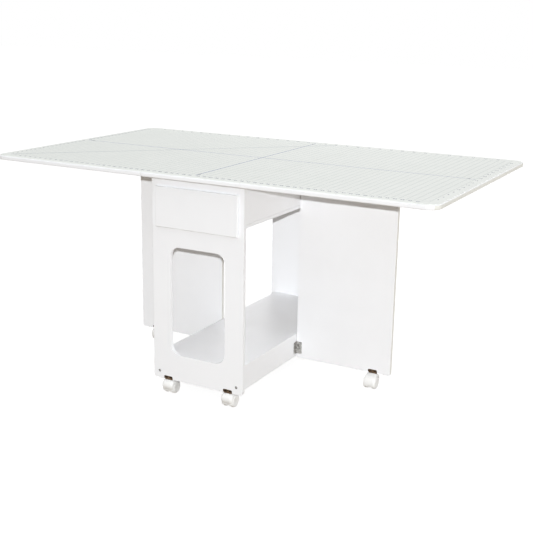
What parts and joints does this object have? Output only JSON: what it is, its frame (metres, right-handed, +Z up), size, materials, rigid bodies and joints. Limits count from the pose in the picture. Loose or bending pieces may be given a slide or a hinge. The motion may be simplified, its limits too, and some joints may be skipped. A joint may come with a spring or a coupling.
{
  "type": "drop-leaf sewing and cutting table",
  "caption": "Drop-leaf sewing and cutting table on casters: narrow white cabinet with a drawer and open shelf, swing-out gate legs, hinged leaves and a gridded cutting mat.",
  "frame": {"origin": "on the floor, under the middle of the tabletop", "axes": "+X along the table's length to the right, +Y from the drawer end to the plain end, +Z up"},
  "size_m": [1.815, 1.058, 0.86],
  "materials": {
    "white_melamine": "white melamine-faced board, satin",
    "drawer_lining": "white foil-wrapped board, matt",
    "cutting_mat": "pale grey-green self-healing mat with printed inch grid",
    "plated_steel": "zinc plated",
    "white_plastic": "white moulded nylon"
  },
  "bodies": {
    "cabinet": {"front_panel": "white_melamine", "rear_panel": "white_melamine", "shelf": "white_melamine", "bay_floor": "white_melamine", "left_skirt": "white_melamine", "right_skirt": "white_melamine", "left_apron": "white_melamine", "right_apron": "white_melamine", "centre_top": "white_melamine", "centre_mat": "cutting_mat", "left_runner": "white_plastic", "right_runner": "white_plastic", "left_lower_hinge_plate": "plated_steel", "left_lower_hinge_pin": "plated_steel", "left_upper_hinge_plate": "plated_steel", "left_upper_hinge_pin": "plated_steel", "right_lower_hinge_plate": "plated_steel", "right_lower_hinge_pin": "plated_steel", "right_upper_hinge_plate": "plated_steel", "right_upper_hinge_pin": "plated_steel", "left_leaf_hinge_plate": "plated_steel", "right_leaf_hinge_plate": "plated_steel", "front_left_screw": "plated_steel", "front_right_screw": "plated_steel", "front_left_caster_stem": "plated_steel", "front_right_caster_stem": "plated_steel", "rear_left_caster_stem": "plated_steel", "rear_right_caster_stem": "plated_steel"},
    "drawer": {"drawer_front": "white_melamine", "drawer_left_side": "drawer_lining", "drawer_right_side": "drawer_lining", "drawer_back": "drawer_lining", "drawer_bottom": "drawer_lining"},
    "left_gate": {"left_gate": "white_melamine", "left_lower_hinge_flap": "plated_steel", "left_upper_hinge_flap": "plated_steel", "left_gate_caster_stem": "plated_steel"},
    "left_leaf": {"left_leaf": "white_melamine", "left_mat": "cutting_mat", "left_leaf_hinge_flap": "plated_steel"},
    "right_gate": {"right_gate": "white_melamine", "right_lower_hinge_flap": "plated_steel", "right_upper_hinge_flap": "plated_steel", "right_gate_caster_stem": "plated_steel"},
    "right_leaf": {"right_leaf": "white_melamine", "right_mat": "cutting_mat", "right_leaf_hinge_flap": "plated_steel"},
    "front_left_caster_hood": {"front_left_caster_hood": "white_plastic"},
    "front_left_caster_wheels": {"front_left_caster_wheels": "white_plastic"},
    "rear_left_caster_hood": {"rear_left_caster_hood": "white_plastic"},
    "rear_left_caster_wheels": {"rear_left_caster_wheels": "white_plastic"},
    "left_gate_caster_hood": {"left_gate_caster_hood": "white_plastic"},
    "left_gate_caster_wheels": {"left_gate_caster_wheels": "white_plastic"},
    "front_right_caster_hood": {"front_right_caster_hood": "white_plastic"},
    "front_right_caster_wheels": {"front_right_caster_wheels": "white_plastic"},
    "rear_right_caster_hood": {"rear_right_caster_hood": "white_plastic"},
    "rear_right_caster_wheels": {"rear_right_caster_wheels": "white_plastic"},
    "right_gate_caster_hood": {"right_gate_caster_hood": "white_plastic"},
    "right_gate_caster_wheels": {"right_gate_caster_wheels": "white_plastic"}
  },
  "joints": [
    {"name": "drawer_slide", "type": "slide", "parent": "cabinet", "child": "drawer", "axis": [0, -1, 0], "range_m": [0, 0.3]},
    {"name": "left_gate_swing", "type": "hinge", "parent": "cabinet", "child": "left_gate", "pos_m": [-0.1803, -0.0113, 0.45], "axis": [0, 0, 1], "range_deg": [0, 90]},
    {"name": "left_leaf_lift", "type": "hinge", "parent": "cabinet", "child": "left_leaf", "pos_m": [-0.205, 0, 0.8446], "axis": [0, 1, 0], "range_deg": [0, 2.5]},
    {"name": "right_gate_swing", "type": "hinge", "parent": "cabinet", "child": "right_gate", "pos_m": [0.1803, -0.0113, 0.45], "axis": [0, 0, -1], "range_deg": [0, 90]},
    {"name": "right_leaf_lift", "type": "hinge", "parent": "cabinet", "child": "right_leaf", "pos_m": [0.205, 0, 0.8446], "axis": [0, -1, 0], "range_deg": [0, 2.5]},
    {"name": "front_left_caster_swivel", "type": "hinge", "parent": "cabinet", "child": "front_left_caster_hood", "pos_m": [-0.131, -0.4685, 0.05], "axis": [0, 0, 1], "continuous": true},
    {"name": "front_left_caster_roll", "type": "hinge", "parent": "front_left_caster_hood", "child": "front_left_caster_wheels", "pos_m": [-0.131, -0.4525, 0.02469], "axis": [1, 0, 0], "continuous": true},
    {"name": "rear_left_caster_swivel", "type": "hinge", "parent": "cabinet", "child": "rear_left_caster_hood", "pos_m": [-0.131, 0.4685, 0.05], "axis": [0, 0, 1], "continuous": true},
    {"name": "rear_left_caster_roll", "type": "hinge", "parent": "rear_left_caster_hood", "child": "rear_left_caster_wheels", "pos_m": [-0.131, 0.4525, 0.02469], "axis": [1, 0, 0], "continuous": true},
    {"name": "left_gate_caster_swivel", "type": "hinge", "parent": "left_gate", "child": "left_gate_caster_hood", "pos_m": [-0.512, -0.0015, 0.05], "axis": [0, 0, 1], "continuous": true},
    {"name": "left_gate_caster_roll", "type": "hinge", "parent": "left_gate_caster_hood", "child": "left_gate_caster_wheels", "pos_m": [-0.512, 0.0145, 0.02469], "axis": [1, 0, 0], "continuous": true},
    {"name": "front_right_caster_swivel", "type": "hinge", "parent": "cabinet", "child": "front_right_caster_hood", "pos_m": [0.131, -0.4685, 0.05], "axis": [0, 0, 1], "continuous": true},
    {"name": "front_right_caster_roll", "type": "hinge", "parent": "front_right_caster_hood", "child": "front_right_caster_wheels", "pos_m": [0.131, -0.4525, 0.02469], "axis": [1, 0, 0], "continuous": true},
    {"name": "rear_right_caster_swivel", "type": "hinge", "parent": "cabinet", "child": "rear_right_caster_hood", "pos_m": [0.131, 0.4685, 0.05], "axis": [0, 0, 1], "continuous": true},
    {"name": "rear_right_caster_roll", "type": "hinge", "parent": "rear_right_caster_hood", "child": "rear_right_caster_wheels", "pos_m": [0.131, 0.4525, 0.02469], "axis": [1, 0, 0], "continuous": true},
    {"name": "right_gate_caster_swivel", "type": "hinge", "parent": "right_gate", "child": "right_gate_caster_hood", "pos_m": [0.512, -0.0015, 0.05], "axis": [0, 0, 1], "continuous": true},
    {"name": "right_gate_caster_roll", "type": "hinge", "parent": "right_gate_caster_hood", "child": "right_gate_caster_wheels", "pos_m": [0.512, -0.0175, 0.02469], "axis": [1, 0, 0], "continuous": true}
  ]
}
